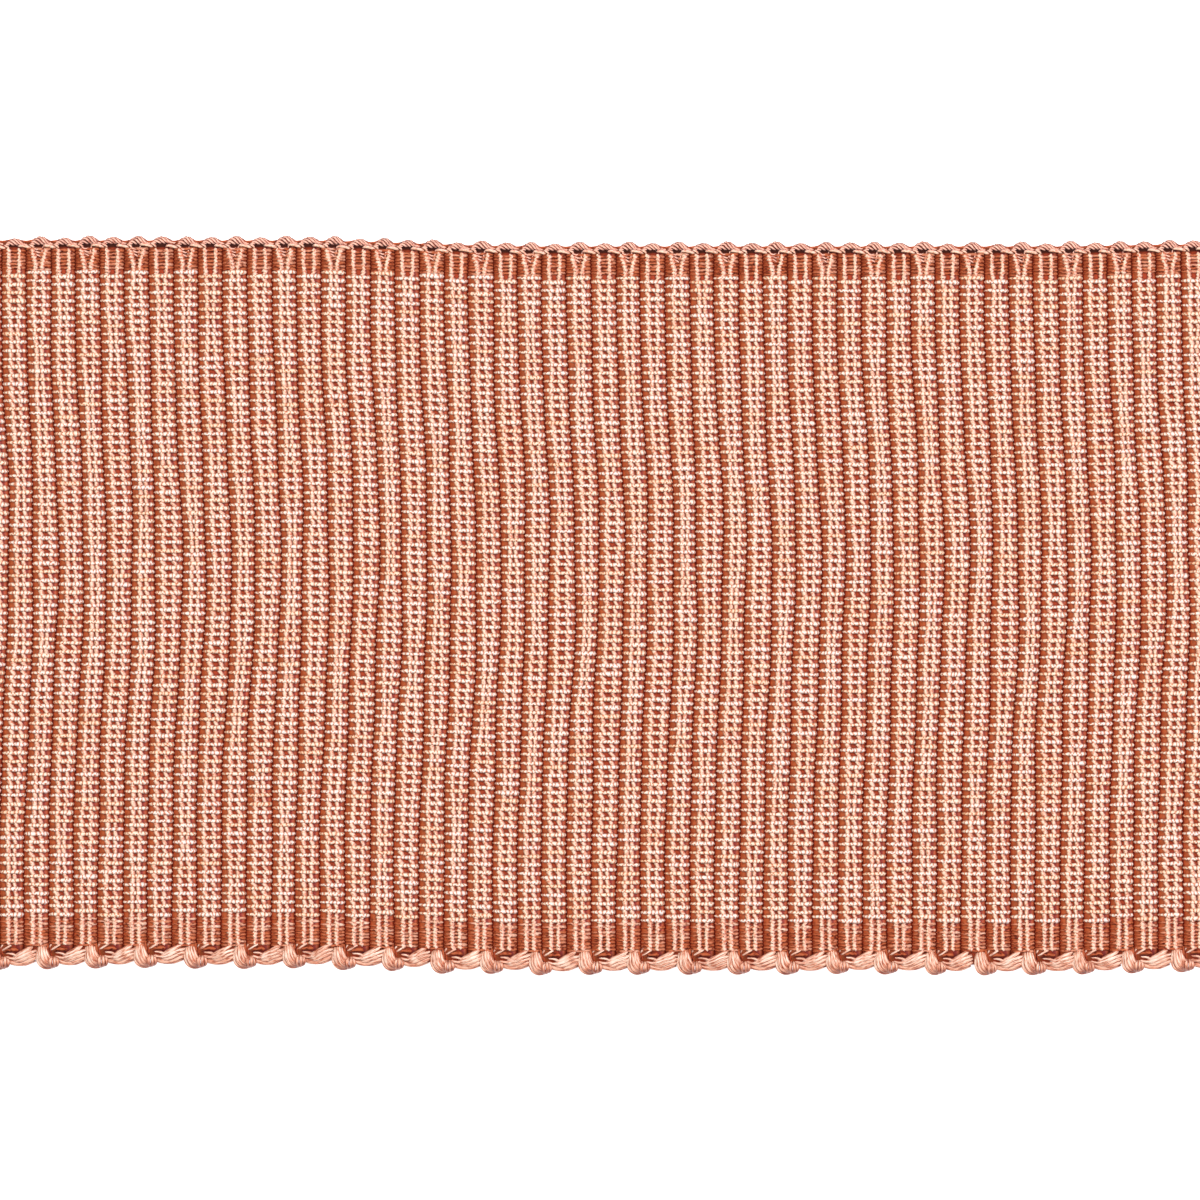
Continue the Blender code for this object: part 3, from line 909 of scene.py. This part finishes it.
silky = silky_rayon_peach()
feet = strands_at(KNOT_GROOVES, FEET, 2)
parts = [thick_strands(KNOT_GROOVES, KNOT, *KNOT_STRAND, KNOT_SHADE),
         thick_strands(KNOT_GROOVES, BALL, *BALL_STRAND, BALL_SHADE),
         sweep(feet, tapered(FOOT_HALF_WIDTH, feet, 0.5, 1.0), FOOT_HALF_HEIGHT, STRAND_SIDES)]
for half_width, brown, strand in LEAF:
    parts.append(thick_strands(KNOT_GROOVES[:-1], [strand], half_width, LEAF_HALF_HEIGHT, 0.5, 0.4, brown))
put_on_tape("knotted_edge", new_mesh("knotted_edge", parts, silky))

parts = []
for half_width, dye_and_shade, strand in RUST_STRANDS:
    strands = strands_at(KNOT_GROOVES, [strand], 3)
    parts.append(sweep(strands, tapered(half_width, strands, 0.7, 0.7), RUST_HALF_HEIGHT, STRAND_SIDES, dye_and_shade))
put_on_tape("knotted_edge_bars", new_mesh("knotted_edge_bars", parts, fine_rust))


# The studio
# A plain pale floor, one broad soft light almost straight above the tape, and a weaker one from
# the right. The photo's light is as frontal, and leaves no shadow beside the tape.
HALF_FLOOR = 1.5
FLOOR_HEIGHT = -0.00005
floor_mesh = bpy.data.meshes.new("studio_floor")
floor_mesh.from_pydata([(x * HALF_FLOOR, y * HALF_FLOOR, FLOOR_HEIGHT)
                        for x, y in ((-1, -1), (1, -1), (1, 1), (-1, 1))], [], [(0, 1, 2, 3)])
floor = bpy.data.objects.new("studio_floor", floor_mesh)
bpy.context.scene.collection.objects.link(floor)
floor_paint, _ = new_material("pale_floor", {
    "Base Color": linear("#FAFAFA"), "Roughness": 0.9, "Emission Color": linear("#FFFFFF"),
    "Emission Strength": 0.8,
})
floor_mesh.materials.append(floor_paint)


def area_light(name, place, size, power, colour):
    """A soft square light that faces the tape."""
    data = bpy.data.lights.new(name, "AREA")
    data.size = size
    data.energy = power
    data.color = linear(colour)[:3]
    light = bpy.data.objects.new(name, data)
    light.location = place
    light.rotation_euler = (-light.location).to_track_quat("-Z", "Y").to_euler()
    bpy.context.scene.collection.objects.link(light)


area_light("key_light", (-0.05, 0.2, 0.72), 0.4, 4.9, "#FFF8F2")
area_light("fill_light", (0.45, -0.1, 0.5), 0.6, 1.4, "#FFE8EC")

world = bpy.data.worlds.new("studio_air")
world.use_nodes = True
world.node_tree.nodes["Background"].inputs["Color"].default_value = (1, 1, 1, 1)
world.node_tree.nodes["Background"].inputs["Strength"].default_value = 0.38
bpy.context.scene.world = world
bpy.context.scene.view_settings.view_transform = "Standard"

# The camera looks straight down with a long lens, and takes in 124.6 mm at the top of the ribs.
VIEW_WIDTH = 124.56
VIEW_X = 0.6
VIEW_Y = 0.655
RIB_TOPS = 1.7
LENS = 200.0
SENSOR = 36.0
camera_data = bpy.data.cameras.new("camera")
camera_data.lens = LENS
camera_data.sensor_width = SENSOR
camera = bpy.data.objects.new("camera", camera_data)
camera.location = (VIEW_X * MM, VIEW_Y * MM, (VIEW_WIDTH * LENS / SENSOR + RIB_TOPS) * MM)
bpy.context.scene.collection.objects.link(camera)
bpy.context.scene.camera = camera
